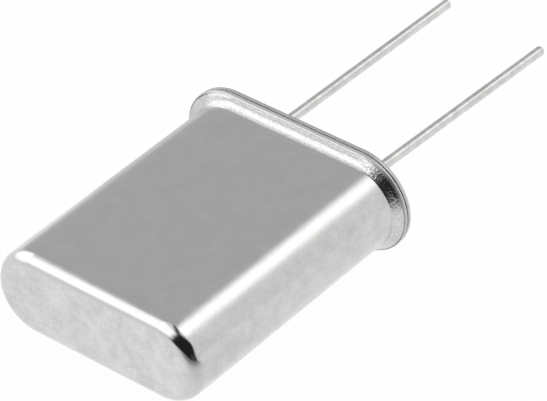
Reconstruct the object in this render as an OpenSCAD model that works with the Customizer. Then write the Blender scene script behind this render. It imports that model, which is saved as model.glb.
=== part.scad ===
// Quartz crystal unit in a welded metal can with two wire leads. Lengths are in millimetres.
//
// The part lies on a broad face: +Z is that face's normal, +Y runs out along the leads and X
// runs from lead to lead. The origin is the middle of the seating face, midway between the
// leads. Each module builds its piece standing on its can with the leads up, where z is the
// height from the seating face, and laid_down() then turns it onto its broad face.

/* [Can] */
// Width of the can across its rounded sides
can_w = 10.1; // [9.4:0.1:11.4]
// Thickness of the can from broad face to broad face
can_t = 3.8; // [3.4:0.1:4.4]
// Height from the seating face to the outside of the closed end
can_h = 12.9; // [12.2:0.1:14.4]
// Wall of the drawn can
can_wall = 0.25; // [0.15:0.05:0.35]
// Outside radius round the edge of the closed end
crown_r = 0.6; // [0.4:0.05:0.9]
// Outside radius of the flare from the wall into the flange
flare_r = 0.29; // [0.1:0.01:0.3]

/* [Flanges] */
// How far the flanges of can and base stand out from the can's broad faces
flange_reach = 0.425; // [0.41:0.005:0.6]
// How much further they stand out at the can's left end, where they are trimmed off-centre
flange_left = 0.15; // [0:0.01:0.3]
// How much less far they stand out at its right end
flange_right = 0.05; // [0:0.01:0.06]
// Thickness of the can's flange
can_flange_t = 0.32; // [0.16:0.02:0.4]
// Thickness of the base's flange, whose lead side is the seating face
base_flange_t = 0.2; // [0.16:0.02:0.5]
// Radius of the rims' rounded edges, which leaves the groove of the weld seam
rim_r = 0.07; // [0.02:0.01:0.08]

/* [Base] */
// Depth of the base from the seating face to the top of its plug inside the can
base_h = 1.0; // [0.7:0.05:1.3]
// Clearance between the plug and the can's wall
plug_gap = 0.08; // [0.02:0.02:0.2]
// Radius of the plug's inner edge
plug_edge_r = 0.15; // [0.05:0.05:0.2]

/* [Glass seals] */
// Diameter of the glass bead round each lead
seal_d = 1.5; // [1.1:0.1:1.8]
// Radius of the glass that creeps along the lead at both ends of a bead
meniscus_r = 0.15; // [0.05:0.05:0.2]

/* [Leads] */
// Distance between the leads' centre lines at the seating face
lead_pitch = 4.88; // [4.2:0.02:5.4]
// Diameter of the lead wire
lead_d = 0.43; // [0.35:0.01:0.6]
// Reach of the left lead from the seating face
lead_left_l = 13.1; // [6:0.1:20]
// Reach of the right lead from the seating face
lead_right_l = 12.75; // [6:0.05:20]
// Lean of both leads towards the face that the part lies on, in degrees
lead_droop = 2.05; // [0:0.05:10]
// Outward lean of each lead, in degrees
lead_splay = 0.65; // [0.05:0.05:5]
// Straight wire between the seating face and the bend of the lean
bend_start = 0.3; // [0.2:0.05:2]
// Radius of that bend, at the wire's centre line
bend_r = 1.5; // [0.5:0.1:4]
// Edge radius of the left lead's cut tip
tip_left_r = 0.04; // [0.01:0.01:0.15]
// Edge radius of the right lead's rounded tip
tip_right_r = 0.15; // [0.01:0.01:0.17]
// Diameter of the head that each lead has inside the can
head_d = 0.9; // [0.7:0.1:1.3]
// Thickness of that head
head_t = 0.18; // [0.1:0.02:0.3]
// Bare wire between the base's plug and the head
head_gap = 0.27; // [0.22:0.01:0.6]

/* [Spring clips] */
// Thickness of the clip strip
clip_t = 0.12; // [0.08:0.02:0.2]
// Width of the clip strip
clip_w = 1.4; // [1:0.1:1.6]
// Inside radius of the strip's fold
clip_fold_r = 0.1; // [0.05:0.05:0.3]
// How far the crystal's edge stands into the clip's slot
clip_bite = 0.15; // [0.1:0.01:0.2]
// Width of the slot across the crystal's thickness
slot_w = 0.7; // [0.6:0.05:0.9]
// Room in the slot beyond the crystal's edge, above and below
slot_room = 0.2; // [0.1:0.05:0.5]
// Strip left beyond the slot at the clip's free end
clip_tail = 0.6; // [0.3:0.1:1.2]
// Strip that reaches past the lead's head towards the middle
clip_heel = 0.1; // [0:0.05:0.3]

/* [Crystal] */
// Thickness of the quartz blank
blank_t = 0.42; // [0.3:0.02:0.5]
// Clearance between the blank's edge and the can's inside, beside each clip
blank_side_gap = 0.8; // [0.75:0.05:1.2]
// Bevel round the blank's edges
blank_bevel = 0.04; // [0.01:0.01:0.06]
// Diameter of the electrode films
electrode_d = 4.6; // [3:0.1:6]
// Thickness of the electrode films
electrode_t = 0.02; // [0.02:0.01:0.04]
// Width of each film's tab to its clip
tab_w = 1.2; // [0.6:0.1:1.3]
// Diameter of the cement beads that hold the blank in its clips
cement_d = 1.24; // [1.1:0.02:1.4]

/* [Hidden] */
$fn = 64;
LEFT = -1;
RIGHT = 1;
FRONT = 1;
BACK = -1;
// Depth by which a cutting shape passes the surface that it cuts
cut = 0.1;

// The oblong outline: round ends about two centres, joined by straight sides
end_r = can_t / 2;
straight = can_w - can_t;
inner_r = end_r - can_wall;
flange_r = end_r + flange_reach;
plug_r = inner_r - plug_gap;

// Heights from the seating face, negative towards the closed end
crown_z = -can_h;
roof_z = crown_z + can_wall;
can_flange_z = -base_flange_t - can_flange_t;
head_z = -base_h - head_gap - head_t;
foot_z = head_z - clip_t;

// The crystal hangs midway between the clips' feet and the closed end
blank_d = can_w - 2 * (can_wall + blank_side_gap);
blank_z = (foot_z + roof_z) / 2;
clip_x = blank_d / 2 - clip_bite;
slot_l = 2 * (sqrt(pow(blank_d / 2, 2) - pow(clip_x, 2)) + slot_room);
clip_end_z = blank_z - slot_l / 2 - clip_tail;

// Each lead's lean as one angle, and the heading it leans towards
lead_r = lead_d / 2;
lean = atan(sqrt(pow(tan(lead_droop), 2) + pow(tan(lead_splay), 2)));
lean_heading = atan2(tan(lead_droop), tan(lead_splay));

// Turns a standing piece onto its broad face
module laid_down() {
    rotate([-90, 0, 0]) children();
}

// Builds the right-hand piece as drawn, or mirrors it to the left
module on_side(side) {
    mirror([side == LEFT ? 1 : 0, 0, 0]) children();
}

// What a square corner holds beyond the arc of radius r that rounds it. The corner is at
// the origin and opens towards +X and +Y.
module corner(r) {
    difference() {
        square(r);
        translate([r, r]) circle(r);
    }
}

// A rectangle from the axis out to r and from z0 up to z1. Its outer corners are rounded to
// low_r and high_r, or left sharp at 0.
module layer(r, z0, z1, low_r, high_r) {
    difference() {
        translate([0, z0]) square([r, z1 - z0]);
        if (low_r > 0) translate([r, z0]) mirror([1, 0]) corner(low_r);
        if (high_r > 0) translate([r, z1]) rotate(180) corner(high_r);
    }
}

// Carries a half section (x out from the centre line, y up) round an oblong outline. The
// centres of its round ends lie left_out and right_out beyond those of the can's.
module oblong_sweep(left_out = 0, right_out = 0) {
    left_x = -straight / 2 - left_out;
    right_x = straight / 2 + right_out;
    for (end = [[LEFT, left_x], [RIGHT, right_x]])
        translate([end[1], 0, 0]) rotate([0, 0, end[0] * -90])
            rotate_extrude(angle = 180) children();
    translate([left_x, 0, 0]) rotate([90, 0, 90]) linear_extrude(right_x - left_x) {
        children();
        mirror([1, 0]) children();
    }
}

// A plate with the flanges' outline, its upper and lower edges rounded
module flange(z0, z1) {
    oblong_sweep(flange_left, -flange_right) layer(flange_r, z0, z1, rim_r, rim_r);
}

// The drawn can: closed crown, wall, flare and welded flange, one sheet all through
module can() {
    color([0.76, 0.77, 0.76]) laid_down() difference() {
        union() {
            oblong_sweep() {
                layer(end_r, crown_z, -base_flange_t, crown_r, 0);
                translate([end_r, can_flange_z]) mirror([0, 1]) corner(flare_r);
            }
            flange(can_flange_z, -base_flange_t);
        }
        oblong_sweep()
            layer(inner_r, roof_z, cut - base_flange_t, crown_r - can_wall, 0);
    }
}

// The stamped base: its flange seats on the board and its plug fills the can's mouth
module base() {
    color([0.7, 0.71, 0.71]) laid_down() difference() {
        union() {
            flange(-base_flange_t, 0);
            oblong_sweep() layer(plug_r, -base_h, -base_flange_t, plug_edge_r, 0);
        }
        for (side = [LEFT, RIGHT])
            translate([side * lead_pitch / 2, 0, -base_h - cut])
                cylinder(h = base_h + 2 * cut, d = seal_d);
    }
}

// A glass bead fused between the base and one lead, creeping along the wire at both ends
module glass_seal(side) {
    color([0.16, 0.26, 0.24]) laid_down() translate([side * lead_pitch / 2, 0, 0])
        rotate_extrude() translate([lead_r, 0]) {
            translate([0, -base_h]) square([seal_d / 2 - lead_r, base_h]);
            corner(meniscus_r);
            translate([0, -base_h]) mirror([0, 1]) corner(meniscus_r);
        }
}

// A lead: its head in the can, straight wire through the seal, a slight bend and the tip
module lead(side, reach, tip_r) {
    arm_x = bend_r * (1 - cos(lean));
    arm_z = bend_start + bend_r * sin(lean);
    color([0.8, 0.8, 0.79]) laid_down() on_side(side) translate([lead_pitch / 2, 0, 0]) {
        translate([0, 0, head_z]) cylinder(h = head_t, d = head_d);
        translate([0, 0, head_z]) cylinder(h = bend_start - head_z, r = lead_r);
        rotate([0, 0, lean_heading]) {
            translate([bend_r, 0, bend_start]) rotate([90, 0, 0]) rotate([0, 0, 180 - lean])
                rotate_extrude(angle = lean) translate([bend_r, 0]) circle(lead_r);
            translate([arm_x, 0, arm_z]) rotate([0, lean, 0]) rotate_extrude()
                layer(lead_r, 0, (reach - arm_z) / cos(lean), 0, tip_r);
        }
    }
}

// A folded strip: its foot is welded under the lead's head, its slotted arm holds the blank
module spring_clip(side) {
    foot_x = lead_pitch / 2 - head_d / 2 - clip_heel;
    arm_x = clip_x + clip_t;
    color([0.72, 0.7, 0.64]) laid_down() on_side(side) difference() {
        translate([0, clip_w / 2, 0]) rotate([90, 0, 0]) linear_extrude(clip_w) difference() {
            union() {
                translate([foot_x, foot_z]) square([arm_x - foot_x, clip_t]);
                translate([clip_x, clip_end_z]) square([clip_t, head_z - clip_end_z]);
                translate([clip_x, foot_z]) rotate(180) corner(clip_fold_r);
            }
            translate([arm_x, head_z]) rotate(180) corner(clip_fold_r + clip_t);
        }
        translate([clip_x - cut, -slot_w / 2, blank_z - slot_l / 2])
            cube([clip_t + 2 * cut, slot_w, slot_l]);
    }
}

// The round quartz blank, parallel to the can's broad faces
module quartz_blank() {
    r = blank_d / 2;
    rim = blank_t / 2 - blank_bevel;
    color([0.86, 0.9, 0.92]) laid_down() translate([0, 0, blank_z]) rotate([90, 0, 0])
        rotate_extrude() polygon([[0, -blank_t / 2], [r - blank_bevel, -blank_t / 2], [r, -rim],
            [r, rim], [r - blank_bevel, blank_t / 2], [0, blank_t / 2]]);
}

// A metal film on one face of the blank, with a tab that reaches one clip
module electrode(face, side) {
    film_y = face * (blank_t / 2 + electrode_t / 2);
    tab_l = blank_d / 2 - 2 * blank_bevel;
    color([0.85, 0.84, 0.8]) laid_down() translate([0, -film_y, blank_z]) rotate([90, 0, 0])
        linear_extrude(electrode_t, center = true) {
            circle(d = electrode_d);
            translate([side * tab_l / 2, 0]) square([tab_l, tab_w], center = true);
        }
}

// A bead of conductive cement round the blank's edge, in and about the clip's slot
module cement(side) {
    color([0.62, 0.62, 0.6]) difference() {
        laid_down() translate([side * (clip_x + clip_t / 2), 0, blank_z]) sphere(d = cement_d);
        spring_clip(side);
        quartz_blank();
        electrode(FRONT, LEFT);
        electrode(BACK, RIGHT);
    }
}

can();
base();
glass_seal(LEFT);  // glass_seal_left
glass_seal(RIGHT);  // glass_seal_right
lead(LEFT, lead_left_l, tip_left_r);  // lead_left
lead(RIGHT, lead_right_l, tip_right_r);  // lead_right
spring_clip(LEFT);  // spring_clip_left
spring_clip(RIGHT);  // spring_clip_right
quartz_blank();
electrode(FRONT, LEFT);  // electrode_front
electrode(BACK, RIGHT);  // electrode_back
cement(LEFT);  // cement_left
cement(RIGHT);  // cement_right
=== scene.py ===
"""Looks of a quartz crystal unit: a drawn, nickel-plated can welded to a base with two wire leads.

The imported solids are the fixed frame. The can, the base, the glass seals and the leads are
modelled again here with finer surfaces and stand for their solids. The crystal and what
carries it inside the can keep their solids and get their finishes here.

Pieces are modelled in millimetres and brought to metres when they are done. As in the frame,
+Y runs out along the leads, +Z is up from the broad face and X runs from lead to lead.
"""

import logging
from collections.abc import Callable, Iterable
from dataclasses import astuple, dataclass
from enum import Enum
from math import atan, cos, hypot, radians, sin, sqrt, tan

import bmesh
import bpy
from bpy.types import Material, Node, NodeSocket as Socket, NodeTree, Object
from mathutils import Matrix, Vector


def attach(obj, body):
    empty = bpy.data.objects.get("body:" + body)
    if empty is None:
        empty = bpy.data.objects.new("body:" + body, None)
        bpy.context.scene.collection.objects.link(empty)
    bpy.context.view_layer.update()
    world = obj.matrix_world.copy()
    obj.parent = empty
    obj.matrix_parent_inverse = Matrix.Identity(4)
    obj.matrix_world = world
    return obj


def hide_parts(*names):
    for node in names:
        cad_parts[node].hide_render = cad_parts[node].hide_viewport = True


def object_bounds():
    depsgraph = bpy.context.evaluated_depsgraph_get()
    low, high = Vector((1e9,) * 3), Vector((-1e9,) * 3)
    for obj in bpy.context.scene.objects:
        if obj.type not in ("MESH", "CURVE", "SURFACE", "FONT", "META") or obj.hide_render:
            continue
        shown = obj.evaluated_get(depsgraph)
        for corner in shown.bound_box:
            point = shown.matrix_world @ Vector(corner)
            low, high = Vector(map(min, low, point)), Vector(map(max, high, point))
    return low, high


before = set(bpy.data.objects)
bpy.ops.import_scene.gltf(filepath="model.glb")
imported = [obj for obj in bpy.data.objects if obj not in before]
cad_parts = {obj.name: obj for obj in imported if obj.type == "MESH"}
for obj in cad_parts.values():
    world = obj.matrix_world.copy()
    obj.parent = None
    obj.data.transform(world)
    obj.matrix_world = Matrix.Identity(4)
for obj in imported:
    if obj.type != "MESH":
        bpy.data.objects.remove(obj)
cad_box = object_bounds()

MM = 0.001
BODY = "root"
NEAR = 1e-3  # places closer than this are the same, in millimetres
FLAT_TURN = 0.1  # edges that turn by less are dissolved, in degrees
SMOOTH_TURN = 30.0  # edges that turn by less are shaded smooth, in degrees
SQUARE_ON = 0.9  # cosine above which a face looks along an axis

Colour = tuple[float, float, float, float]
Pair = tuple[float, float]
Cloud = tuple[float, float, float]  # length of its patches, least value, greatest value
Relief = tuple[float, float]  # length of its lumps or width of its lines, and height
Rule = Callable[[Vector, Vector], bool]  # for a face's centre and normal, or an edge's ends

log = logging.getLogger("crystal_unit")


class Side(Enum):
    """The two sides of the unit, valued as the sign of X."""

    LEFT = -1
    RIGHT = 1

    @property
    def word(self) -> str:
        """The side's name as the frame's nodes spell it."""
        return self.name.lower()


class Slot(Enum):
    """The record's material slots."""

    CAN = "can_nickel"
    BASE = "base_nickel"
    SEAL = "seal_glass"
    WIRE = "tinned_wire"
    CLIP = "clip_strip"
    QUARTZ = "quartz"
    FILM = "electrode_film"
    CEMENT = "silver_cement"


# --- Modelling ---


@dataclass(frozen=True)
class Oblong:
    """An outline seen along Y: two half circles joined by straight sides, in millimetres."""

    half_run: float  # from the middle to each half circle's centre, along X
    radius: float

    def grown(self, width: float) -> "Oblong":
        """The outline that lies this far outside this one."""
        return Oblong(self.half_run, self.radius + width)


@dataclass(frozen=True)
class Arc:
    """A quarter turn or less of a profile, given by the angle of the surface's normal.

    At 0 degrees the normal lies along Y, at 90 it points out of the outline.
    """

    radius: float
    start: float = 90.0
    end: float = 0.0
    hollow: bool = False  # a fillet instead of a rounded edge

    def steps(self, count: int) -> list[Pair]:
        """Cuts the arc into straight steps.

        Args:
            count: How many.

        Returns:
            How far each goes inwards and how far along the face's normal.
        """
        turns = [self.start + (self.end - self.start) * i / count for i in range(count + 1)]
        ends = [(sin(radians(t)), cos(radians(t))) for t in turns]
        sign = -1.0 if self.hollow else 1.0
        return [
            (sign * self.radius * (a[0] - b[0]), sign * self.radius * (b[1] - a[1]))
            for a, b in zip(ends, ends[1:])
        ]


@dataclass
class Workpiece:
    """One mesh on the bench, shaped with edit-mode operators."""

    name: str
    node: str  # the frame's node that it stands for
    obj: Object | None = None

    def _adopt(self) -> None:
        """Takes the primitive that was just added, and leaves edit mode on with nothing picked."""
        bpy.ops.object.transform_apply()
        self.obj = bpy.context.view_layer.objects.active
        self.obj.name = self.name
        self.obj.data.name = self.name
        bpy.ops.object.mode_set(mode="EDIT")
        bpy.ops.mesh.select_all(action="DESELECT")

    def start_plate(self, outline: Oblong, low_y: float, top_y: float, steps: int) -> None:
        """Adds a block and rounds its four edges along Y, which makes an oblong plate.

        Args:
            outline: The plate's outline.
            low_y: Its can side.
            top_y: Its lead side.
            steps: The number of steps in each quarter circle.
        """
        size = (2 * (outline.half_run + outline.radius), top_y - low_y, 2 * outline.radius)
        centre = (0.0, (low_y + top_y) / 2, 0.0)
        bpy.ops.object.select_all(action="DESELECT")
        bpy.ops.mesh.primitive_cube_add(size=1.0, location=centre, scale=size)
        self._adopt()
        self.pick_edges(lambda first, second: abs(first.y - second.y) > size[1] / 2)
        self.round_edges(outline.radius, steps)
        bpy.ops.mesh.select_all(action="SELECT")
        bpy.ops.mesh.remove_doubles(threshold=NEAR)
        bpy.ops.mesh.dissolve_limited(angle_limit=radians(FLAT_TURN))

    def start_rod(self, radius: float, x: float, y: float, length: float, sides: int) -> None:
        """Adds a round face and extrudes it along Y.

        Args:
            radius: The rod's radius.
            x: X of its axis.
            y: Y of its can side.
            length: Its length.
            sides: The number of its sides.
        """
        bpy.ops.object.select_all(action="DESELECT")
        bpy.ops.mesh.primitive_circle_add(
            vertices=sides, radius=radius, fill_type="NGON", location=(x, y, 0.0),
            rotation=(radians(90), 0.0, 0.0),
        )
        self._adopt()
        bpy.ops.mesh.select_all(action="SELECT")
        self.rise(length)
        bpy.ops.mesh.select_all(action="SELECT")
        bpy.ops.mesh.normals_make_consistent(inside=False)

    def pick_faces(self, rule: Rule) -> None:
        """Picks the faces that a rule takes by centre and normal."""
        self._pick("FACE", "faces", lambda face: rule(face.calc_center_median(), face.normal))

    def pick_edges(self, rule: Rule) -> None:
        """Picks the edges that a rule takes by their two ends."""
        self._pick("EDGE", "edges", lambda edge: rule(*(end.co for end in edge.verts)))

    def _pick(self, mode: str, kind: str, rule: Callable[[object], bool]) -> None:
        """Picks all faces or edges that a rule takes.

        Args:
            mode: The select mode.
            kind: What the mesh calls them.
            rule: Says yes or no to each.
        """
        bpy.ops.mesh.select_all(action="DESELECT")
        bpy.ops.mesh.select_mode(type=mode)
        mesh = bmesh.from_edit_mesh(self.obj.data)
        mesh.normal_update()
        for item in getattr(mesh, kind):
            item.select_set(rule(item))
        bmesh.update_edit_mesh(self.obj.data)

    def extrude(self, along: Vector) -> None:
        """Extrudes the picked faces this far."""
        bpy.ops.mesh.extrude_region_move(TRANSFORM_OT_translate={"value": tuple(along)})

    def rise(self, length: float) -> None:
        """Extrudes the picked faces along Y."""
        self.extrude(Vector((0.0, length, 0.0)))

    def inset(self, width: float) -> None:
        """Insets the picked faces by this much."""
        bpy.ops.mesh.inset(thickness=width, use_even_offset=True)

    def shape_ring(self, body: Oblong, rule: Callable[[Side, float], Pair]) -> None:
        """Places the outline of the picked end face, each corner by its direction.

        Args:
            body: The outline that reaches are measured from.
            rule: Gives the reach beyond the body and the Y of a corner, from its end of the
                oblong and the sine of its angle from the broad face's normal.
        """
        mesh = bmesh.from_edit_mesh(self.obj.data)
        face = next(face for face in mesh.faces if face.select)
        middle = face.calc_center_median().x
        for vert in face.verts:
            side = Side.RIGHT if vert.co.x > middle else Side.LEFT
            centre = side.value * body.half_run
            out = Vector((vert.co.x - centre, 0.0, vert.co.z)).normalized()
            reach, y = rule(side, min(abs(out.x), 1.0))
            vert.co = Vector((centre, y, 0.0)) + out * (body.radius + reach)
        bmesh.update_edit_mesh(self.obj.data)

    def follow(self, arc: Arc, count: int, facing: int) -> None:
        """Carries the picked end face along a profile's arc by insets.

        Args:
            arc: The arc.
            count: The number of its steps.
            facing: 1 where the normals lean to +Y, -1 where they lean to -Y.
        """
        for width, rise in arc.steps(count):
            self.inset(width)
            bpy.ops.transform.translate(value=(0.0, facing * rise, 0.0))

    def round_edges(self, radius: float, segments: int) -> None:
        """Rounds the picked edges in this many steps."""
        bpy.ops.mesh.bevel(
            offset=radius, offset_type="OFFSET", segments=segments, profile=0.5,
            affect="EDGES", clamp_overlap=False,
        )

    def finish(self) -> "Workpiece":
        """Leaves edit mode, merges doubles, turns faces outwards, shades and scales to metres.

        Returns:
            The piece, its object at the origin and unscaled.
        """
        bpy.ops.mesh.select_all(action="SELECT")
        bpy.ops.mesh.remove_doubles(threshold=NEAR / 10)
        bpy.ops.mesh.normals_make_consistent(inside=False)
        bpy.ops.object.mode_set(mode="OBJECT")
        self.obj.scale = (MM, MM, MM)
        bpy.ops.object.transform_apply()
        bpy.ops.object.shade_smooth_by_angle(angle=radians(SMOOTH_TURN))
        weighted = self.obj.modifiers.new("face_weighted_normals", "WEIGHTED_NORMAL")
        weighted.keep_sharp = True
        bpy.ops.object.modifier_apply(modifier=weighted.name)
        return self


def dress(obj: Object, finish: Material) -> None:
    """Gives a piece its finish.

    Args:
        obj: The piece.
        finish: Its material.
    """
    obj.data.materials.clear()
    obj.data.materials.append(finish)


# --- Node trees ---


class Tree:
    """A node tree with short calls for adding and joining nodes."""

    COLOUR_INPUTS, COLOUR_OUTPUT = (0, 6, 7), 2  # the sockets of a Mix node that mixes colours

    def __init__(self, owner: NodeTree) -> None:
        """Empties a node tree and takes it over."""
        owner.nodes.clear()
        self.nodes, self.links = owner.nodes, owner.links

    def add(self, kind: str, **settings: object) -> Node:
        """Adds a node.

        Args:
            kind: The node's type, after "ShaderNode".
            settings: Its properties.

        Returns:
            The node.
        """
        node = self.nodes.new(f"ShaderNode{kind}")
        for key, value in settings.items():
            setattr(node, key, value)
        return node

    def wire(self, node: Node, inputs: Iterable[tuple[Socket, object]]) -> Node:
        """Sets a node's inputs or links them to other nodes.

        Args:
            node: The node.
            inputs: Inputs, each with a number, a colour or another node's socket.

        Returns:
            The node.
        """
        for socket, value in inputs:
            if isinstance(value, Socket):
                self.links.new(value, socket)
            else:
                socket.default_value = value
        return node

    def feed(self, node: Node, **inputs: object) -> Node:
        """Sets or links a node's inputs by name, with _ for a space, and gives the node."""
        named = ((node.inputs[key.replace("_", " ")], value) for key, value in inputs.items())
        return self.wire(node, named)

    def place(self, group: NodeTree, *inputs: object) -> Socket:
        """Places a node group and gives its only output."""
        node = self.add("Group", node_tree=group)
        return self.wire(node, zip(node.inputs, inputs)).outputs[0]

    def math(self, operation: str, *terms: object) -> Socket:
        """Adds a Math node for these terms and gives its result."""
        node = self.add("Math", operation=operation)
        return self.wire(node, zip(node.inputs, terms)).outputs[0]

    def ramp(
        self, value: object, low: object, high: object, to_low: object = 0.0, to_high: object = 1.0
    ) -> Socket:
        """Maps a value from low and high to two others, with soft ends."""
        node = self.add("MapRange", interpolation_type="SMOOTHSTEP")
        return self.feed(
            node, Value=value, From_Min=low, From_Max=high, To_Min=to_low, To_Max=to_high
        ).outputs["Result"]

    def blend(self, factor: object, first: object, second: object) -> Socket:
        """Mixes two colours, with this much of the second."""
        node = self.add("Mix", data_type="RGBA")
        return self.wire(
            node, zip([node.inputs[i] for i in self.COLOUR_INPUTS], (factor, first, second))
        ).outputs[self.COLOUR_OUTPUT]

    def mix(self, factor: Socket, first: Socket, second: Socket) -> Socket:
        """Mixes two shaders, with this much of the second."""
        node = self.add("MixShader")
        return self.wire(node, zip(node.inputs, (factor, first, second))).outputs[0]

    def noise(self, vector: Socket, scale: Socket, detail: float, rough: float = 0.5) -> Socket:
        """Adds a noise with this many features in a metre."""
        node = self.add("TexNoise")
        return self.feed(
            node, Vector=vector, Scale=scale, Detail=detail, Roughness=rough
        ).outputs[0]

    def split(self, vector: Socket) -> bpy.types.bpy_prop_collection:
        """Splits a vector into the sockets X, Y and Z."""
        return self.feed(self.add("SeparateXYZ"), Vector=vector).outputs


def new_group(name: str, output: str, *inputs: str) -> tuple:
    """Starts a shader node group that reads a vector and puts out one value.

    Args:
        name: The group's name.
        output: Its output's name.
        inputs: The names of its other inputs.

    Returns:
        The group, its tree, the sockets of its inputs and its output node.
    """
    group = bpy.data.node_groups.new(name, "ShaderNodeTree")
    sockets = group.interface
    sockets.new_socket("Vector", in_out="INPUT", socket_type="NodeSocketVector")
    for key in inputs:
        sockets.new_socket(key, in_out="INPUT", socket_type="NodeSocketFloat")
    sockets.new_socket(output, in_out="OUTPUT", socket_type="NodeSocketFloat")
    tree = Tree(group)
    given, result = (tree.nodes.new(f"NodeGroup{end}") for end in ("Input", "Output"))
    return group, tree, given.outputs, result


class Effects:
    """Node groups that several finishes share. A scale counts features in a metre."""

    FINER, FINER_SHARE = 2.7, 0.35  # how much finer the peel's second lumps are, and how high
    CLOUD = (0.3, 0.7)  # the noise's values where a cloud starts and where it is full
    STRETCH = 0.02  # a line's width against its length

    def __init__(self) -> None:
        """Builds each group once."""
        self.peel = self._peel()
        self.cloud = self._cloud()
        self.grain = self._grain()

    def _peel(self) -> NodeTree:
        """Orange peel of strained sheet: rounded lumps of two sizes, as a height.

        Returns:
            The group.
        """
        group, tree, given, result = new_group("orange_peel", "Relief", "Scale", "Height")
        coarse = tree.noise(given["Vector"], given["Scale"], detail=1.0)
        finer = tree.math("MULTIPLY", given["Scale"], self.FINER)
        fine = tree.noise(given["Vector"], finer, detail=2.0)
        coarse = tree.math("SUBTRACT", coarse, (1.0 + self.FINER_SHARE) / 2)
        lumps = tree.math("MULTIPLY_ADD", fine, self.FINER_SHARE, coarse)
        tree.feed(result, Relief=tree.math("MULTIPLY", lumps, given["Height"]))
        return group

    def _cloud(self) -> NodeTree:
        """Soft cloudiness of a plated or tinned surface, between two values.

        Returns:
            The group.
        """
        group, tree, given, result = new_group("cloudiness", "Value", "Scale", "Low", "High")
        clouds = tree.noise(given["Vector"], given["Scale"], detail=4.0, rough=0.6)
        tree.feed(result, Value=tree.ramp(clouds, *self.CLOUD, given["Low"], given["High"]))
        return group

    def _grain(self) -> NodeTree:
        """Fine lines along Y, as the height of drawn or rolled metal.

        Returns:
            The group.
        """
        group, tree, given, result = new_group("drawn_grain", "Relief", "Scale", "Height")
        stretched = tree.add("Mapping")
        tree.feed(stretched, Vector=given["Vector"], Scale=(1.0, self.STRETCH, 1.0))
        lines = tree.noise(stretched.outputs[0], given["Scale"], detail=2.0, rough=0.7)
        tree.feed(result, Relief=tree.math("MULTIPLY", lines, given["Height"]))
        return group


def grey(value: float, green: float = 0.0) -> Colour:
    """A neutral colour of this linear lightness, or one with a little more green."""
    return (value, value + green, value, 1.0)


# --- Finishes ---


class Coat:
    """A material while it is mixed: a Principled shader on Object coordinates."""

    def __init__(self, name: str, effects: Effects, **constants: object) -> None:
        """Starts a material.

        Args:
            name: Its name.
            effects: The shared node groups.
            constants: Values for the shader's own sockets.
        """
        self.effects = effects
        self.material = bpy.data.materials.new(name)
        self.material.use_nodes = True
        self.tree = tree = Tree(self.material.node_tree)
        self.shader = tree.feed(tree.add("BsdfPrincipled"), **constants)
        tree.feed(tree.add("OutputMaterial"), Surface=self.shader.outputs[0])
        self.where = tree.add("TexCoord").outputs["Object"]

    def cloud(self, patch: float, low: float, high: float) -> Socket:
        """Soft patches of this length, between two values."""
        return self.tree.place(self.effects.cloud, self.where, 1.0 / (patch * MM), low, high)

    def peel(self, lump: float, height: float) -> Socket:
        """Orange peel with lumps of this length and height."""
        return self.tree.place(self.effects.peel, self.where, 1.0 / (lump * MM), height * MM)

    def grain(self, line: float, height: float) -> Socket:
        """Drawn lines of this width and height."""
        return self.tree.place(self.effects.grain, self.where, 1.0 / (line * MM), height * MM)

    def cover(self, relief: Socket, **inputs: object) -> Material:
        """Feeds the shader and so finishes the material.

        Args:
            relief: The surface's height in metres.
            inputs: The shader's other inputs.

        Returns:
            The material.
        """
        bump = self.tree.add("Bump")
        self.tree.feed(bump, Height=relief, Strength=1.0, Distance=1.0)
        self.tree.feed(self.shader, Normal=bump.outputs[0], **inputs)
        return self.material


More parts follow.
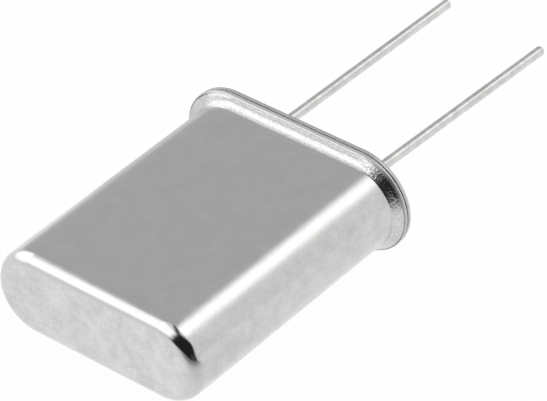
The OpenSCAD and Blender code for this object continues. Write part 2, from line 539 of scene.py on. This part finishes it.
@dataclass(frozen=True)
class NickelPlate:
    """Bright nickel over drawn sheet, rougher where the sheet was strained.

    Lengths are in millimetres. A pair of places is where something starts and where it is full.
    """

    name: str
    tone: Cloud = (0.7, 0.62, 0.65)  # reflectance
    blue: float = 0.99  # share of blue in the tone
    gloss: Cloud = (0.9, 0.17, 0.23)  # roughness of the smooth wall
    rim_gloss: float = 0.25  # what the flange's trimmed edge adds to it
    corner_gloss: float = -0.09  # what the rounding round the closed end adds
    crown_gloss: float = 0.19  # what the closed end's face adds to that
    strained_y: Pair = (-0.86, -0.66)  # the flare
    sheared_y: Pair = (-0.5, -0.4)  # the trimmed edge
    sheared_share: float = 0.3  # what that edge keeps of the flare's orange peel
    crown_y: float = -12.9  # the closed end's face
    crown_up: Pair = (0.05, 0.005)  # over that face
    corner_up: Pair = (0.95, 0.7)
    end_x: Pair = (4.1, 4.7)  # the wall's rounded ends
    end_share: float = 0.6  # what they show of the crown's clouds
    painted_shade_and_light: float = -0.03  # painted shade, added to their tone, and painted light, taken from the crown's
    clouds: Cloud = (0.6, -0.05, 0.06)
    specks: Cloud = (0.09, -0.03, 0.03)
    wall_specks: float = 0.4  # share of the specks on the smooth wall
    strained_specks: float = 1.6  # what strained sheet shows on top of it
    waves: Relief = (1.6, 0.008)  # of the smooth wall
    peel: Relief = (0.1, 0.014)
    lumps: Relief = (0.45, 0.014)  # of the closed end

    def make(self, effects: Effects) -> Material:
        """Builds the material.

        Args:
            effects: The shared node groups.

        Returns:
            The material.
        """
        coat = Coat(self.name, effects, Metallic=1.0)
        tree = coat.tree
        at = tree.split(coat.where)
        sheared_y = [y * MM for y in self.sheared_y]
        sheared = tree.ramp(at["Y"], *sheared_y)
        strained = tree.ramp(at["Y"], *(y * MM for y in self.strained_y))
        eased = tree.ramp(at["Y"], *sheared_y, 1.0, self.sheared_share)
        strained = tree.math("MULTIPLY", strained, eased)
        crown = tree.ramp(at["Y"], *((self.crown_y + up) * MM for up in self.crown_up))
        corner = tree.ramp(at["Y"], *((self.crown_y + up) * MM for up in self.corner_up))
        ends = tree.ramp(tree.math("ABSOLUTE", at["X"]), *(x * MM for x in self.end_x))

        specks = coat.cloud(*self.specks)
        marked = tree.math("MAXIMUM", crown, tree.math("MULTIPLY", ends, self.end_share))
        # painted shade on the wall's rounded ends and painted light on the closed end's face
        shade_and_light_place = tree.math("SUBTRACT", ends, crown)
        tone = tree.math("MULTIPLY_ADD", shade_and_light_place, self.painted_shade_and_light, coat.cloud(*self.tone))
        clouds = tree.math("ADD", coat.cloud(*self.clouds), specks)
        tone = tree.math("MULTIPLY_ADD", clouds, marked, tone)
        grain = tree.math("MULTIPLY_ADD", strained, self.strained_specks, self.wall_specks)
        tone = tree.math("MULTIPLY_ADD", specks, grain, tone)

        rough = coat.cloud(*self.gloss)
        glosses = (self.rim_gloss, self.corner_gloss, self.crown_gloss)
        for share, change in zip((sheared, corner, crown), glosses):
            rough = tree.math("MULTIPLY_ADD", share, change, rough)

        relief = tree.math("MULTIPLY_ADD", coat.peel(*self.peel), strained, coat.peel(*self.waves))
        relief = tree.math("MULTIPLY_ADD", coat.peel(*self.lumps), crown, relief)
        blue = tree.math("MULTIPLY", tone, self.blue)
        colour = tree.feed(tree.add("CombineColor"), Red=tone, Green=tone, Blue=blue)
        return coat.cover(relief, Base_Color=colour.outputs[0], Roughness=rough)


@dataclass(frozen=True)
class StainedFinish:
    """A finish whose colour drifts in soft patches, over a fine relief."""

    name: str
    stain: float  # length of the patches
    dark: Colour
    pale: Colour
    gloss: Cloud  # roughness
    bumps: Relief

    CONSTANTS = {"Metallic": 1.0}  # the shader's own values

    def relief(self, coat: Coat) -> Socket:
        """The surface's height: small lumps."""
        return coat.peel(*self.bumps)

    def varied(self, coat: Coat, stain: Socket) -> dict[str, Socket]:
        """The shader's other inputs that vary, here in patches of their own."""
        return {"Roughness": coat.cloud(*self.gloss)}

    def make(self, effects: Effects) -> Material:
        """Builds the material.

        Args:
            effects: The shared node groups.

        Returns:
            The material.
        """
        coat = Coat(self.name, effects, **self.CONSTANTS)
        stain = coat.cloud(self.stain, 0.0, 1.0)
        colour = coat.tree.blend(stain, self.dark, self.pale)
        return coat.cover(self.relief(coat), Base_Color=colour, **self.varied(coat, stain))


@dataclass(frozen=True)
class TinnedWire(StainedFinish):
    """Hot-tinned wire: lumpy, cloudy and a little streaked along its length."""

    name: str = "tinned_wire"
    stain: float = 0.5
    dark: Colour = (0.61, 0.61, 0.601, 1.0)
    pale: Colour = (0.74, 0.74, 0.729, 1.0)
    gloss: Cloud = (0.3, 0.24, 0.4)
    bumps: Relief = (0.14, 0.0025)
    lines: Relief = (0.04, 0.0006)

    def relief(self, coat: Coat) -> Socket:
        """The surface's height: lumps and drawn lines."""
        return coat.tree.math("ADD", coat.peel(*self.bumps), coat.grain(*self.lines))


@dataclass(frozen=True)
class SealGlass(StainedFinish):
    """Dark sealing glass, fire-polished, with a few shallow pits."""

    name: str = "seal_glass"
    stain: float = 0.3
    dark: Colour = (0.018, 0.032, 0.028, 1.0)
    pale: Colour = (0.045, 0.075, 0.066, 1.0)
    gloss: Cloud = (0.15, 0.06, 0.16)
    bumps: Relief = (0.3, 0.004)

    CONSTANTS = {"Metallic": 0.0, "IOR": 1.52, "Coat_Weight": 0.5, "Coat_Roughness": 0.05}


@dataclass(frozen=True)
class RolledStrip(StainedFinish):
    """Nickel-silver spring strip with rolling lines."""

    name: str = "rolled_strip"
    stain: float = 0.5
    dark: Colour = (0.56, 0.53, 0.46, 1.0)
    pale: Colour = (0.64, 0.62, 0.56, 1.0)
    gloss: Cloud = (0.2, 0.24, 0.36)
    bumps: Relief = (0.02, 0.0008)

    def relief(self, coat: Coat) -> Socket:
        """The surface's height: rolling lines."""
        return coat.grain(*self.bumps)


@dataclass(frozen=True)
class LappedQuartz(StainedFinish):
    """Clear quartz whose faces are lapped to a fine frost."""

    name: str = "lapped_quartz"
    stain: float = 1.2
    dark: Colour = (0.88, 0.93, 0.94, 1.0)
    pale: Colour = (0.94, 0.96, 0.96, 1.0)
    gloss: Cloud = (0.4, 0.3, 0.42)
    bumps: Relief = (0.03, 0.0006)

    CONSTANTS = {"Metallic": 0.0, "IOR": 1.54, "Transmission_Weight": 0.9}


@dataclass(frozen=True)
class SilverFilm(StainedFinish):
    """Evaporated silver, which repeats the frost of the quartz below it."""

    name: str = "silver_film"
    stain: float = 0.8
    dark: Colour = (0.83, 0.81, 0.76, 1.0)
    pale: Colour = (0.9, 0.88, 0.84, 1.0)
    gloss: Cloud = (0.4, 0.18, 0.3)
    bumps: Relief = (0.03, 0.0005)


@dataclass(frozen=True)
class SilverCement(StainedFinish):
    """Conductive cement: dark, matt binder full of pale silver flakes."""

    name: str = "silver_cement"
    stain: float = 0.03
    dark: Colour = (0.42, 0.42, 0.4, 1.0)
    pale: Colour = (0.68, 0.68, 0.66, 1.0)
    gloss: Pair = (0.7, 0.42)  # roughness of binder and flake
    bumps: Relief = (0.04, 0.006)
    flake: Pair = (0.4, 0.8)  # the stain's values where a flake starts and is full
    metal: Pair = (0.2, 0.8)  # metallic share of binder and flake

    CONSTANTS = {}

    def varied(self, coat: Coat, stain: Socket) -> dict[str, Socket]:
        """The shader's other inputs that vary, here from binder to flake."""
        metal = coat.tree.ramp(stain, *self.flake, *self.metal)
        return {"Metallic": metal, "Roughness": coat.tree.ramp(stain, 0.0, 1.0, *self.gloss)}


# --- Sub-assemblies ---


class ModelledPiece:
    """What the pieces that are modelled here share: each stands for a node of the frame."""

    SLOT: Slot

    def build(self) -> Workpiece:
        """Models the piece, each kind in its own way."""
        raise NotImplementedError

    def make(self, finish: Material) -> None:
        """Models the piece, dresses it and lets it stand for its node.

        Args:
            finish: Its material.
        """
        piece = self.build()
        dress(piece.obj, finish)
        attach(piece.obj, BODY)
        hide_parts(piece.node)
        faces = len(piece.obj.data.polygons)
        log.info("%s: %d faces, stands for %s", piece.name, faces, piece.node)


@dataclass(frozen=True)
class FlareStation:
    """The flange's section at one place: wall, flare, cone and rounded rim, in millimetres."""

    reach: float  # how far the rim stands out from the wall
    start_r: float  # radius where the wall ends
    start_turn: float  # angle of the normal after it, in degrees, which is 90 on the wall
    band: float  # length of the straight stretch that follows
    flare_r: float  # radius from there into the cone
    cone: float  # angle of the normal on the cone
    rim_r: float  # radius from the cone round the rim
    edge_r: float = 0.35  # radius of the rim's edge itself, which is nearly flat
    edge_turn: float = 70.0  # angle of the normal where that edge ends
    groove: float = 0.01  # depth of the groove pressed between cone and rim
    groove_width: float = 0.06
    full_at: float = 1.0  # sine of the angle from the broad face's normal where it is full

    EDGE_STEPS, RIM_STEPS, CONE_STEPS, FLARE_STEPS, START_STEPS = 4, 6, 3, 10, 4

    def points(self, rim_y: float) -> list[Pair]:
        """Follows the section from the rim's edge to the wall.

        Args:
            rim_y: Y of the rim's edge.

        Returns:
            The reach and the Y of each point.
        """
        rim = Arc(self.edge_r, 90.0, self.edge_turn).steps(self.EDGE_STEPS)
        rim += Arc(self.rim_r, self.edge_turn, self.cone).steps(self.RIM_STEPS)
        flare = Arc(self.flare_r, self.cone, self.start_turn, hollow=True).steps(self.FLARE_STEPS)
        start = Arc(self.start_r, self.start_turn, 90.0, hollow=True).steps(self.START_STEPS)
        lean = radians(self.start_turn)
        band = [(self.band * cos(lean), self.band * sin(lean))]
        left = self.reach - sum(width for width, _ in rim + flare + band + start)
        slope = tan(radians(self.cone))
        half = self.groove_width / 2
        groove = [(half, half * slope - self.groove), (half, half * slope + self.groove)]
        step = (left - self.groove_width) / self.CONE_STEPS
        cone = groove + [(step, step * slope)] * self.CONE_STEPS
        spot = (self.reach, rim_y)
        spots = []
        for width, rise in rim + cone + flare + band + start:
            spot = (spot[0] - width, spot[1] - rise)
            spots.append(spot)
        return spots


@dataclass
class Can(ModelledPiece):
    """The drawn can with its closed end, flare and welded flange, in millimetres.

    The flange isn't flat: it is a blunt cone that the wall flares into, softly along the broad
    faces and sharply round the right end. It is trimmed off-centre, so it is wider at the left.
    """

    width: float = 10.1
    thickness: float = 3.8
    height: float = 12.9  # over the seat
    wall: float = 0.25  # thickness of the sheet
    crown_r: float = 0.6  # rounding round the closed end
    seam_y: float = -0.2  # the weld
    rim_y: float = -0.305  # middle of the rim's edge
    bead: float = 0.02  # the flat of that edge
    slot: float = 0.035  # the open slot outside the weld
    slot_depth: float = 0.1
    seam_r: float = 0.06  # rounding from the rim's edge to the slot
    outline_steps: int = 56  # in each quarter of an outline
    crown_steps: int = 20
    roof_steps: int = 8  # inside the closed end
    seam_steps: int = 6
    broad: FlareStation = FlareStation(0.425, 0.2, 67.0, 0.09, 0.4, 28.0, 0.06)
    left: FlareStation = FlareStation(
        0.575, 0.1, 67.0, 0.06, 0.3, 36.0, 0.07, groove=0.06, groove_width=0.045
    )
    right: FlareStation = FlareStation(
        0.375, 0.05, 67.0, 0.01, 0.05, 45.0, 0.05, edge_r=0.15, edge_turn=58.0,
        groove=0.05, groove_width=0.05, full_at=0.5,
    )

    SLOT = Slot.CAN

    @property
    def body(self) -> Oblong:
        """Outline of the wall's outside."""
        return Oblong((self.width - self.thickness) / 2, self.thickness / 2)

    def end(self, side: Side) -> FlareStation:
        """The flange's section at one end."""
        return self.left if side is Side.LEFT else self.right

    def reach(self, side: Side, turn: float) -> float:
        """Reach of the rim by its direction: each end is a half circle, moved along X.

        Args:
            side: The end.
            turn: Sine of the angle from the broad face's normal.

        Returns:
            The reach.
        """
        shift = self.end(side).reach - self.broad.reach
        radius = self.body.radius + self.broad.reach
        level = sqrt(max(1.0 - turn * turn, 0.0))
        if radius * turn <= shift * level:
            return radius / level - self.body.radius
        chord = sqrt(radius * radius - (shift * level) ** 2)
        return shift * turn + chord - self.body.radius

    def build(self) -> Workpiece:
        """Models the can.

        Returns:
            The piece.
        """
        body = self.body
        piece = Workpiece("drawn_can", "can")
        low_y, top_y = self.rim_y - self.bead / 2, self.rim_y + self.bead / 2
        piece.start_plate(body.grown(self.broad.reach), low_y, top_y, self.outline_steps)

        piece.pick_faces(lambda centre, normal: centre.y < low_y + NEAR)
        piece.shape_ring(body, lambda side, turn: (self.reach(side, turn), low_y))
        ends = {side: self.end(side).points(low_y) for side in Side}
        for i, broad in enumerate(self.broad.points(low_y)):
            piece.inset(NEAR)
            piece.shape_ring(
                body, lambda side, turn: self._between(side, turn, broad, ends[side][i])
            )
        wall_y = self.crown_r - self.height
        piece.rise(wall_y)
        piece.shape_ring(body, lambda side, turn: (0.0, wall_y))
        piece.follow(Arc(self.crown_r), self.crown_steps, -1)

        piece.pick_faces(lambda centre, normal: centre.y > top_y - NEAR)
        piece.shape_ring(body, lambda side, turn: (self.reach(side, turn), top_y))
        piece.follow(Arc(self.seam_r), self.seam_steps, 1)
        piece.inset(self.slot_depth)
        piece.rise(self.slot)
        piece.inset(self.broad.reach / 4)
        piece.shape_ring(body, lambda side, turn: (-self.wall, self.seam_y))
        roof_r = self.crown_r - self.wall
        roof_y = self.wall - self.height
        piece.rise(roof_y + roof_r - self.seam_y)
        piece.follow(Arc(roof_r), self.roof_steps, -1)
        return piece.finish()

    def _between(self, side: Side, turn: float, broad: Pair, end: Pair) -> Pair:
        """Blends a point of the broad faces' section into the same point of an end's.

        Args:
            side: The end.
            turn: Sine of the angle from the broad face's normal.
            broad: Reach and Y in the broad faces' section.
            end: Reach and Y in the end's section.

        Returns:
            Reach and Y in this direction.
        """
        share = min(turn / self.end(side).full_at, 1.0)
        share *= share * (3 - 2 * share)
        full = self.broad.reach + (self.end(side).reach - self.broad.reach) * share
        reach = broad[0] + (end[0] - broad[0]) * share
        grown = self.reach(side, turn) - full
        return reach + grown * (reach / full), broad[1] + (end[1] - broad[1]) * share


@dataclass
class Base(ModelledPiece):
    """The stamped base with its welded flange, its plug and two pierced holes, in millimetres."""

    can: Can
    height: float = 1.0  # from the plug's face to the seat
    plug_gap: float = 0.08  # between plug and can
    plug_edge_r: float = 0.15
    plug_steps: int = 6
    set_back: float = 0.015  # how far its rim lies inside the can's
    rim_r: float = 0.06  # radius from the rim's edge to the seat
    seam_r: float = 0.01  # radius at the weld
    rim_steps: int = 5
    pitch: float = 4.88  # from lead to lead
    hole_r: float = 0.75
    hole_sides: int = 96
    punch_over: float = 1.0  # how far the punch stands out at both sides

    SLOT = Slot.BASE

    def build(self) -> Workpiece:
        """Models the base.

        Returns:
            The piece.
        """
        can = self.can
        body = can.body
        edge = Arc(can.broad.edge_r, 90.0, can.broad.edge_turn)
        rim = (edge, Arc(self.rim_r, edge.end))
        low_y = can.seam_y + self.seam_r
        top_y = -sum(rise for arc in rim for _, rise in arc.steps(1))
        piece = Workpiece("pierced_base", "base")
        outline = body.grown(can.broad.reach - self.set_back)
        piece.start_plate(outline, low_y, top_y, can.outline_steps)
        for facing, y, arcs in ((1, top_y, rim), (-1, low_y, (Arc(self.seam_r),))):
            piece.pick_faces(lambda centre, normal: abs(centre.y - y) < NEAR)
            piece.shape_ring(body, lambda side, turn: (can.reach(side, turn) - self.set_back, y))
            for arc in arcs:
                piece.follow(arc, self.rim_steps, facing)
        piece.inset(can.broad.reach / 2)
        piece.shape_ring(body, lambda side, turn: (-can.wall - self.plug_gap, can.seam_y))
        piece.rise(self.plug_edge_r - self.height - can.seam_y)
        piece.follow(Arc(self.plug_edge_r), self.plug_steps, -1)
        bpy.ops.object.mode_set(mode="OBJECT")
        for side in Side:
            self._pierce(piece, side)
        bpy.ops.object.mode_set(mode="EDIT")
        return piece.finish()

    def _pierce(self, piece: Workpiece, side: Side) -> None:
        """Pierces one hole for a glass seal.

        Args:
            piece: The base.
            side: The hole's side.
        """
        punch = Workpiece("punch", "")
        punch.start_rod(
            self.hole_r, side.value * self.pitch / 2, -self.height - self.punch_over,
            self.height + 2 * self.punch_over, self.hole_sides,
        )
        bpy.ops.object.mode_set(mode="OBJECT")
        bpy.ops.object.select_all(action="DESELECT")
        piece.obj.select_set(True)
        bpy.context.view_layer.objects.active = piece.obj
        hole = piece.obj.modifiers.new("hole", "BOOLEAN")
        hole.operation = "DIFFERENCE"
        hole.solver = "EXACT"
        hole.object = punch.obj
        bpy.ops.object.modifier_apply(modifier=hole.name)
        bpy.data.objects.remove(punch.obj)


@dataclass
class GlassSeal(ModelledPiece):
    """A glass bead between the base and one lead, creeping along the wire at both ends."""

    base: Base
    side: Side
    lead_r: float = 0.215
    meniscus_r: float = 0.15
    meniscus_steps: int = 8
    meniscus_share: float = 0.98  # of its radius, so that a narrow step stays at its top

    SLOT = Slot.SEAL

    def build(self) -> Workpiece:
        """Models the seal.

        Returns:
            The piece.
        """
        base = self.base
        x = self.side.value * base.pitch / 2
        piece = Workpiece(f"seal_{self.side.word}", f"glass_seal_{self.side.word}")
        piece.start_rod(base.hole_r, x, -base.height, base.height, base.hole_sides)
        for facing, y in ((1, 0.0), (-1, -base.height)):
            piece.pick_faces(lambda centre, normal: normal.y * facing > SQUARE_ON)
            piece.inset(base.hole_r - self.lead_r)
            piece.rise(facing * self.meniscus_r)
            piece.pick_edges(
                lambda *ends: all(
                    abs(end.y - y) < NEAR
                    and abs(hypot(end.x - x, end.z) - self.lead_r) < 2 * NEAR
                    for end in ends
                )
            )
            piece.round_edges(self.meniscus_r * self.meniscus_share, self.meniscus_steps)
        piece.pick_faces(
            lambda centre, normal: abs(normal.y) > SQUARE_ON
            and hypot(centre.x - x, centre.z) < self.lead_r / 2
        )
        bpy.ops.mesh.bridge_edge_loops()  # takes the two faces away and leaves a bore
        return piece.finish()


@dataclass
class Lead(ModelledPiece):
    """One wire lead: its head in the can, straight wire, a slight bend and its cut tip.

    Lengths are in millimetres and angles in degrees.
    """

    base: Base
    side: Side
    reach: float  # from the seat to the tip, along the wire
    tip_r: float  # rounding of the tip
    radius: float = 0.215
    head_r: float = 0.45
    head_t: float = 0.18  # the head's thickness
    head_gap: float = 0.27  # from the head to the base
    droop: float = 2.05  # lean towards the lower broad face
    splay: float = 0.65  # lean away from the other lead
    bend_start: float = 0.3  # over the seat
    bend_r: float = 1.5
    bend_steps: int = 4
    tip_t: float = 0.3  # the last ring's distance from the tip
    tip_steps: int = 8
    sides: int = 40
    ring_gap: float = 0.5

    SLOT = Slot.WIRE

    def build(self) -> Workpiece:
        """Models the lead.

        Returns:
            The piece.
        """
        piece = Workpiece(f"wire_{self.side.word}", f"lead_{self.side.word}")
        x = self.side.value * self.base.pitch / 2
        head_y = -self.base.height - self.head_gap - self.head_t
        piece.start_rod(self.head_r, x, head_y, self.head_t, self.sides)
        piece.pick_faces(lambda centre, normal: normal.y > SQUARE_ON)
        piece.inset(self.head_r - self.radius)
        piece.rise(self.bend_start - head_y - self.head_t)

        lean_x = self.side.value * tan(radians(self.splay))
        lean_z = -tan(radians(self.droop))
        towards = Vector((lean_x, 0.0, lean_z)).normalized()
        lean = atan(hypot(lean_x, lean_z))
        axis = towards.cross(Vector((0.0, 1.0, 0.0)))
        pivot = Vector((x, self.bend_start, 0.0)) + towards * self.bend_r
        bpy.ops.mesh.spin(steps=self.bend_steps, angle=lean, center=pivot, axis=axis)
        direction = Vector((0.0, cos(lean), 0.0)) + towards * sin(lean)
        run = (self.reach - self.bend_start - self.bend_r * sin(lean)) / cos(lean)
        rings = round((run - self.tip_t) / self.ring_gap)
        for _ in range(rings):
            piece.extrude(direction * ((run - self.tip_t) / rings))
        piece.extrude(direction * self.tip_t)
        bpy.ops.mesh.region_to_loop()
        piece.round_edges(self.tip_r, self.tip_steps)
        return piece.finish()


@dataclass(frozen=True)
class CrystalMount:
    """What the can hides: the blank, its electrodes, the clips that carry it and the cement."""

    parts: tuple[tuple[StainedFinish, Slot, tuple[str, ...]], ...] = (
        (RolledStrip(), Slot.CLIP, ("spring_clip_left", "spring_clip_right")),
        (LappedQuartz(), Slot.QUARTZ, ("quartz_blank",)),
        (SilverFilm(), Slot.FILM, ("electrode_front", "electrode_back")),
        (SilverCement(), Slot.CEMENT, ("cement_left", "cement_right")),
    )

    def make(self, effects: Effects) -> None:
        """Dresses these nodes, whose solids stay as they are.

        Args:
            effects: The shared node groups.
        """
        for finish, slot, names in self.parts:
            material = finish.make(effects)
            for name in names:
                dress(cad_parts[name], material)
                log.info("%s keeps its solid, dressed as %s", name, material.name)


# --- Studio ---


@dataclass(frozen=True)
class Card:
    """A soft-edged rectangle of the surroundings, placed by direction, with angles in degrees."""

    azimuth: float  # its middle, from +Y towards +X
    elevation: float
    roll: float
    half_width: float  # of its full core
    half_height: float
    edge: float  # width of the soft edge beyond the core
    level: float  # its brightness
    green: float = 0.0  # what its green has on top of that


@dataclass(frozen=True)
class FloorShade:
    """A wedge of the floor that falls off away from the part, as reflections show it."""

    tip: Pair  # where the wedge starts, X and Y in millimetres
    azimuth: float  # its direction, from +Y towards +X, in degrees
    inner: float  # half the angle of its full core
    outer: float  # half the angle where it fades out
    run: float  # distance over which it falls off, in millimetres
    level: float  # its brightness from there on


@dataclass
class Studio:
    """Floor, surroundings and camera, with lengths in millimetres and angles in degrees."""

    focal_px: float = 3757.1
    frame_px: float = 547.0
    sensor: float = 36.0
    near_clip: float = 5.0
    azimuth: float = 38.728
    elevation: float = 36.246
    distance: float = 148.533
    target: tuple[float, float, float] = (0.501, -2.559, 0.0)
    rest_tilt: float = 2.05
    floor_half: float = 3000.0
    floor_paper: float = 0.86  # what the floor reflects
    floor_white: float = 0.975  # share of plain white over its shadow, as the camera sees it
    floor_shades: tuple[FloorShade, ...] = (
        FloorShade((4.9, -7.0), 128.0, 28.0, 62.0, 30.0, 0.35),
        FloorShade((-3.0, -6.0), -40.0, 18.0, 30.0, 16.0, 0.74),
    )
    surround: float = 0.92
    cards: tuple[Card, ...] = (
        Card(-28.0, 35.5, 0.0, 29.0, 33.5, 11.0, 0.55, 0.005),  # grey wall at the back
        Card(135.0, 36.0, 16.0, 38.0, 29.0, 18.0, 0.02),  # dark side at the right
        Card(106.0, 3.0, 0.0, 10.0, 3.0, 14.0, 0.08),  # its low end
        Card(60.0, 80.0, 0.0, 12.0, 3.0, 8.0, 0.1),  # its top end
        Card(-105.0, 33.0, -2.0, 20.0, 15.0, 17.0, 1.6),  # soft box at the left
        Card(-154.0, 50.0, 0.0, 16.0, 20.0, 15.0, 1.6),  # soft box over the front
        Card(27.0, 52.0, -34.0, 4.0, 11.0, 16.0, 1.72),  # soft box at the back
    )

    def build(self) -> None:
        """Sets up the whole studio."""
        self._camera()
        self._floor()
        self._world()
        bpy.context.scene.view_settings.view_transform = "Standard"

    def _camera(self) -> None:
        """Adds the camera, placed for a part that rests tipped onto its closed end."""
        a, e = radians(self.azimuth), radians(self.elevation)
        back = Vector((sin(a) * cos(e), -cos(a) * cos(e), sin(e)))
        right = Vector((cos(a), sin(a), 0.0))
        up = back.cross(right)
        upright = Matrix.Rotation(-radians(self.rest_tilt), 3, "X")
        data = bpy.data.cameras.new("camera")
        data.sensor_width = self.sensor
        data.lens = self.focal_px * self.sensor / self.frame_px
        data.clip_start = self.near_clip * MM
        camera = bpy.data.objects.new("camera", data)
        bpy.context.scene.collection.objects.link(camera)
        place = upright @ (Vector(self.target) + back * self.distance) * MM
        axes = upright @ Matrix((right, up, back)).transposed()
        camera.matrix_world = Matrix.Translation(place) @ axes.to_4x4()
        bpy.context.scene.camera = camera

    def _floor(self) -> None:
        """Adds the floor, plain white to the eye and in reflections, with the part's shadow."""
        low = (0.0, 0.0, cad_box[0].z)
        bpy.ops.object.select_all(action="DESELECT")
        bpy.ops.mesh.primitive_plane_add(size=2 * self.floor_half * MM, location=low)
        bpy.ops.object.transform_apply()
        floor = bpy.context.view_layer.objects.active
        floor.name = "floor"
        material = bpy.data.materials.new("floor_paper")
        material.use_nodes = True
        floor.data.materials.append(material)
        tree = Tree(material.node_tree)
        rays = tree.add("LightPath").outputs
        seen = rays["Is Camera Ray"]
        mirrored = tree.math("MAXIMUM", rays["Is Glossy Ray"], rays["Is Transmission Ray"])
        plain = tree.math("MAXIMUM", tree.math("MULTIPLY", seen, self.floor_white), mirrored)
        level = 1.0
        for shade in self.floor_shades:
            level = tree.math("MULTIPLY", self._shade_floor(tree, shade), level)
        white = tree.add("Emission")
        tree.feed(white, Color=grey(1.0), Strength=tree.math("MAXIMUM", seen, level))
        paper = tree.feed(tree.add("BsdfDiffuse"), Color=grey(self.floor_paper))
        top = tree.mix(plain, paper.outputs[0], white.outputs[0])
        clear = tree.add("BsdfTransparent").outputs[0]
        below = tree.add("NewGeometry").outputs["Backfacing"]
        tree.feed(tree.add("OutputMaterial"), Surface=tree.mix(below, top, clear))

    @staticmethod
    def _shade_floor(tree: Tree, shade: FloorShade) -> Socket:
        """Lets the floor fall off over one wedge.

        Args:
            tree: The floor's tree.
            shade: The wedge.

        Returns:
            The floor's level.
        """
        turned = tree.add("Mapping", vector_type="TEXTURE")
        x, y = shade.tip
        tree.feed(
            turned, Vector=tree.add("TexCoord").outputs["Object"],
            Location=(x * MM, y * MM, 0.0), Rotation=(0.0, 0.0, -radians(shade.azimuth)),
        )
        parts = tree.split(turned.outputs[0])
        angle = tree.math("ARCTAN2", tree.math("ABSOLUTE", parts["X"]), parts["Y"])
        share = tree.ramp(angle, radians(shade.inner), radians(shade.outer), 1.0, 0.0)
        fall = tree.add("MapRange")
        tree.feed(fall, Value=parts["Y"], From_Max=shade.run * MM, To_Max=1.0 - shade.level)
        return tree.math("SUBTRACT", 1.0, tree.math("MULTIPLY", fall.outputs["Result"], share))

    def _world(self) -> None:
        """Paints the surroundings: white at the horizon, with darker walls in some directions."""
        world = bpy.data.worlds.new("studio")
        world.use_nodes = True
        bpy.context.scene.world = world
        tree = Tree(world.node_tree)
        group = self._card_group()
        looking = tree.add("TexCoord").outputs["Generated"]
        colour: object = grey(self.surround)
        for card in self.cards:
            *angles, level, green = astuple(card)
            mask = tree.place(group, looking, *map(radians, angles))
            colour = tree.blend(mask, colour, grey(level, green))
        background = tree.feed(tree.add("Background"), Color=colour, Strength=1.0)
        tree.feed(tree.add("OutputWorld"), Surface=background.outputs[0])

    @staticmethod
    def _card_group() -> NodeTree:
        """Builds the group that masks one card by direction.

        Returns:
            The group.
        """
        names = ("Azimuth", "Elevation", "Roll", "Half Width", "Half Height", "Edge")
        group, tree, given, result = new_group("soft_card", "Mask", *names)
        drop = tree.math("MULTIPLY", given["Elevation"], -1.0)
        vector = given["Vector"]
        turns = (("Z_AXIS", given["Azimuth"]), ("X_AXIS", drop), ("Y_AXIS", given["Roll"]))
        for axis, angle in turns:
            turn = tree.add("VectorRotate", rotation_type=axis)
            vector = tree.feed(turn, Vector=vector, Angle=angle).outputs[0]
        parts = tree.split(vector)
        mask = 1.0
        for axis, half in (("X", given["Half Width"]), ("Z", given["Half Height"])):
            angle = tree.math("ARCTAN2", tree.math("ABSOLUTE", parts[axis]), parts["Y"])
            share = tree.ramp(angle, half, tree.math("ADD", half, given["Edge"]), 1.0, 0.0)
            mask = tree.math("MULTIPLY", share, mask)
        tree.feed(result, Mask=mask)
        return group


def main() -> None:
    """Builds the studio and every piece."""
    logging.basicConfig(level=logging.INFO, format="%(name)s: %(message)s")
    Studio().build()
    effects = Effects()
    can_plate = NickelPlate("can_nickel").make(effects)
    base_plate = NickelPlate("base_nickel", tone=(0.7, 0.605, 0.635), crown_y=-40.0).make(effects)
    glass = SealGlass().make(effects)
    tin = TinnedWire().make(effects)

    can = Can()
    base = Base(can)
    can.make(can_plate)
    base.make(base_plate)
    for side in Side:
        GlassSeal(base, side).make(glass)
    Lead(base, Side.LEFT, reach=13.1, tip_r=0.04).make(tin)
    Lead(base, Side.RIGHT, reach=12.75, tip_r=0.15).make(tin)
    CrystalMount().make(effects)


if __name__ == "__main__":
    main()
